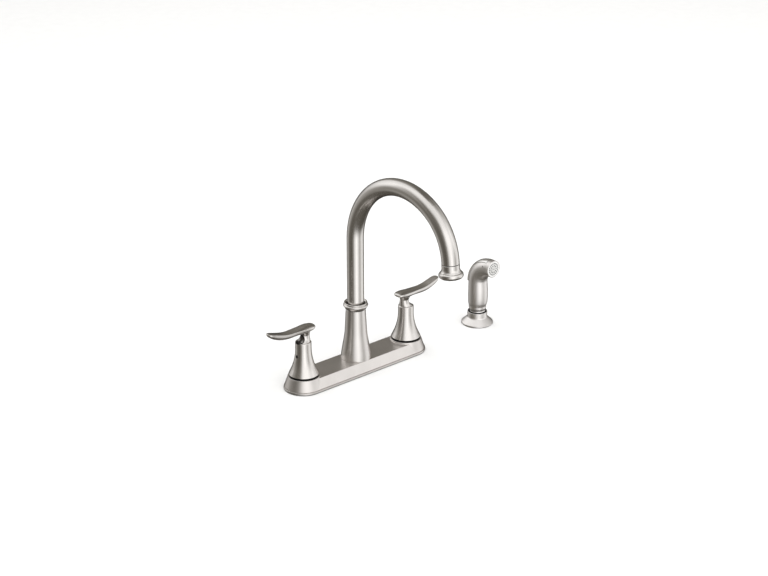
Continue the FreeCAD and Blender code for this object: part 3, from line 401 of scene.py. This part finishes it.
# height, centre outward, radius
NECK = [(75.03, -0.1, 10.45), (75.8, -0.75, 10.0), (77.2, -1.85, 8.95), (79.3, -2.8, 7.8), (82.0, -3.3, 7.05),
        (84.4, -3.4, 6.75), (86.2, -3.2, 7.05), (87.8, -2.9, 7.7), (89.2, -2.7, 8.35), (90.6, -2.6, 8.6),
        (93.5, -2.6, 8.0)]


def smooth_rows(rows, n):
    """Catmull-Rom through the stations, n steps between each pair."""
    out = []
    m = len(rows)
    for i in range(m - 1):
        p0, p1, p2, p3 = rows[max(i - 1, 0)], rows[i], rows[i + 1], rows[min(i + 2, m - 1)]
        for k in range(n):
            t = k / n
            out.append(tuple(0.5 * (2 * b + (c - a) * t + (2 * a - 5 * b + 4 * c - d) * t * t
                                    + (3 * b - a - 3 * c + d) * t ** 3)
                             for a, b, c, d in zip(p0, p1, p2, p3)))
    out.append(tuple(rows[-1]))
    return out


def skin(rings, cap=True):
    """A closed skin over rings of the same number of points."""
    n = len(rings[0])
    verts = [p for r in rings for p in r]
    faces = []
    for i in range(len(rings) - 1):
        for j in range(n):
            a, b = i * n + j, i * n + (j + 1) % n
            faces.append((a, b, b + n, a + n))
    if cap:
        faces.append(tuple(range(n))[::-1])
        faces.append(tuple((len(rings) - 1) * n + j for j in range(n)))
    return verts, faces


def blade_ring(x, zt, zb, w):
    """One section across the blade: crowned top, rolled edge, full sides below.
    The crown and the roll are largest over the neck and fade outward."""
    th = zt - zb
    k = min(1.0, max(0.0, (24.0 - x) / 26.0))
    k = k * k * (3 - 2 * k)
    crown = min(0.45 + 1.65 * k, 0.24 * th)
    q = min(0.45 + 0.75 * k, 0.20 * th)
    pts = []
    top = 22
    wi = w - q * 0.85
    for k in range(top + 1):
        y = -wi + 2 * wi * k / top
        pts.append((x, y, zt - crown * abs(y / wi) ** 2.4))
    ze = zt - crown
    for k in range(1, 6):                       # rolled edge, near side of +y
        a = math.radians(90 - 18 * k)
        pts.append((x, wi + (w - wi) * math.cos(a), ze - q * (1 - math.sin(a))))
    zs = ze - q
    low = 26
    for i in range(1, low):                     # full sides, round bilge, flat keel
        a = math.pi * i / low
        c, s = math.cos(a), math.sin(a)
        y = w * (abs(c) ** 0.52) * (1 if c > 0 else -1)
        pts.append((x, y, zs - (zs - zb) * abs(s) ** 0.62))
    for k in range(5, 0, -1):
        a = math.radians(90 - 18 * k)
        pts.append((x, -wi - (w - wi) * math.cos(a), ze - q * (1 - math.sin(a))))
    return pts


def bmesh_object(name, verts, faces):
    me = bpy.data.meshes.new(name)
    me.from_pydata([tuple(c * 0.001 for c in v) for v in verts], [], faces)
    me.update()
    o = bpy.data.objects.new(name, me)
    scene.collection.objects.link(o)
    return o


def apply_modifiers(o):
    dg = bpy.context.evaluated_depsgraph_get()
    me = bpy.data.meshes.new_from_object(o.evaluated_get(dg))
    old = o.data
    o.modifiers.clear()
    o.data = me
    bpy.data.meshes.remove(old)


def neighbours(me):
    near = [[] for _ in me.vertices]
    for e in me.edges:
        a, b = e.vertices
        near[a].append(b)
        near[b].append(a)
    return near


def relax(me, weight, rounds):
    """Smooth vertices towards their neighbours, by weight(co) between 0 and 1."""
    near = neighbours(me)
    co = [v.co.copy() for v in me.vertices]
    wt = [weight(c) for c in co]
    live = [i for i, x in enumerate(wt) if x > 0.0 and near[i]]
    for _ in range(rounds):
        new = {}
        for i in live:
            s = Vector((0, 0, 0))
            for j in near[i]:
                s += co[j]
            new[i] = co[i].lerp(s / len(near[i]), wt[i])
        for i, c in new.items():
            co[i] = c
    for i in live:
        me.vertices[i].co = co[i]
    me.update()


def make_lever():
    rows = smooth_rows(BLADE, 7)
    rings = [blade_ring(*r) for r in rows]
    # round the two ends: shrink the first and last sections onto a point
    def end(ring, shift):
        cy = sum(p[1] for p in ring) / len(ring)
        cz = sum(p[2] for p in ring) / len(ring)
        out = []
        for k in range(1, 6):
            t = k / 5.0
            s = math.sqrt(max(0.0, 1 - t * t)) * 0.98 + 0.02
            out.append([(p[0] + shift * t, cy + (p[1] - cy) * s, cz + (p[2] - cz) * s) for p in ring])
        return out
    rings = end(rings[0], -0.35)[::-1] + rings + end(rings[-1], 0.8)
    v, f = skin(rings)
    blade = bmesh_object("blade", v, f)

    def turned(name, rows):
        """rows: height, centre outward, radius."""
        v, f = skin([[(c + r * math.cos(2 * math.pi * k / 72), r * math.sin(2 * math.pi * k / 72), z)
                      for k in range(72)] for z, c, r in rows])
        return bmesh_object(name, v, f)
    neck = turned("neck", smooth_rows(NECK, 4))
    spigot = turned("spigot", [(64.05, -3.0, 6.45), (76.0, -3.0, 6.45)])
    # the hollow on the outer side
    ball = turned("hollow", [(79.6 - 8.0 * math.cos(math.pi * i / 28), 7.7, 8.0 * math.sin(math.pi * i / 28))
                             for i in range(1, 28)])
    screw = turned("screw", [(63.0, 0.0, 2.1), (73.0, 0.0, 2.1)])
    for base, op, tool in ((neck, "UNION", spigot), (neck, "DIFFERENCE", ball), (neck, "DIFFERENCE", screw),
                           (blade, "UNION", neck)):
        one = base.modifiers.new("one", "BOOLEAN")
        one.operation, one.object, one.solver = op, tool, "EXACT"
        apply_modifiers(base)
    rm = blade.modifiers.new("even", "REMESH")
    rm.mode, rm.voxel_size, rm.adaptivity = "VOXEL", 0.00027, 0.0
    apply_modifiers(blade)
    for o in (neck, spigot, ball, screw):
        me = o.data
        bpy.data.objects.remove(o)
        bpy.data.meshes.remove(me)
    me = blade.data
    relax(me, lambda c: 0.5, 5)

    def web(c):
        """Strongest where the neck flares into the blade."""
        d = abs(c.z - 0.0896)
        r = math.hypot(c.x + 0.003, c.y)
        if d > 0.0045 or r > 0.0125:
            return 0.0
        return 0.7 * (1 - d / 0.0045) ** 0.5
    relax(me, web, 30)
    for p in me.polygons:
        p.use_smooth = True
    return blade


first = make_lever()
for side, sx, turn in (("cold", 0.1016, 0.0), ("hot", -0.1016, math.pi)):
    me = first.data.copy()
    me.transform(Matrix.Translation((sx, 0, 0)) @ Matrix.Rotation(turn, 4, "Z"))
    lever = bpy.data.objects.new(side + "_lever_form", me)
    scene.collection.objects.link(lever)
    wear(lever, NICKEL_LEVER_HOLLOW_SHADE[side])
    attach(lever, side + "_handle")
    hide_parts(side + "_lever")
me = first.data
bpy.data.objects.remove(first)
bpy.data.meshes.remove(me)

# ---------------------------------------------------------------------------
# Springs: each coil is a copy of its node, riding on the body that carries it.
# ---------------------------------------------------------------------------
for name, rides, joint, fixed, keep in (("diverter_spring", "root", "diverter_lift", 0.0260, 0.38),
                                        ("spray_valve_spring", "spray_wand", "thumb_press", 0.0601, 0.925)):
    coil = bpy.data.objects.new(name + "_coil", NODES[name].data.copy())
    scene.collection.objects.link(coil)
    coil.matrix_world = NODES[name].matrix_world.copy()
    wear(coil, STEEL)
    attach(coil, rides)
    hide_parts(name)
    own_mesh(coil)

# ---------------------------------------------------------------------------
# Floor: pale, level with the underside of the gasket.
# ---------------------------------------------------------------------------
me = bpy.data.meshes.new("floor")
me.from_pydata([(-9, -9, -0.0002), (9, -9, -0.0002), (9, 9, -0.0002), (-9, 9, -0.0002)], [], [(0, 1, 2, 3)])
floor = bpy.data.objects.new("floor", me)
scene.collection.objects.link(floor)
FLOOR = surface("pale_floor", (0.86, 0.86, 0.855), 0.0, 0.7, vary=0.01, spec=0.2, bump=0.0)
wear(floor, FLOOR)
floor.visible_glossy = False


def soft_light(name, loc, aim, size, power, glossy=False):
    d = bpy.data.lights.new(name, "AREA")
    d.shape = "SQUARE"
    d.size = size
    d.energy = power
    o = bpy.data.objects.new(name, d)
    scene.collection.objects.link(o)
    o.location = loc
    o.rotation_mode = "QUATERNION"
    o.rotation_quaternion = (Vector(aim) - Vector(loc)).to_track_quat("-Z", "Y")
    o.visible_glossy = glossy
    o.visible_camera = False
    return o


soft_light("over", (0.2, -0.2, 3.2), (0.05, 0, 0), 5.0, 95.0)
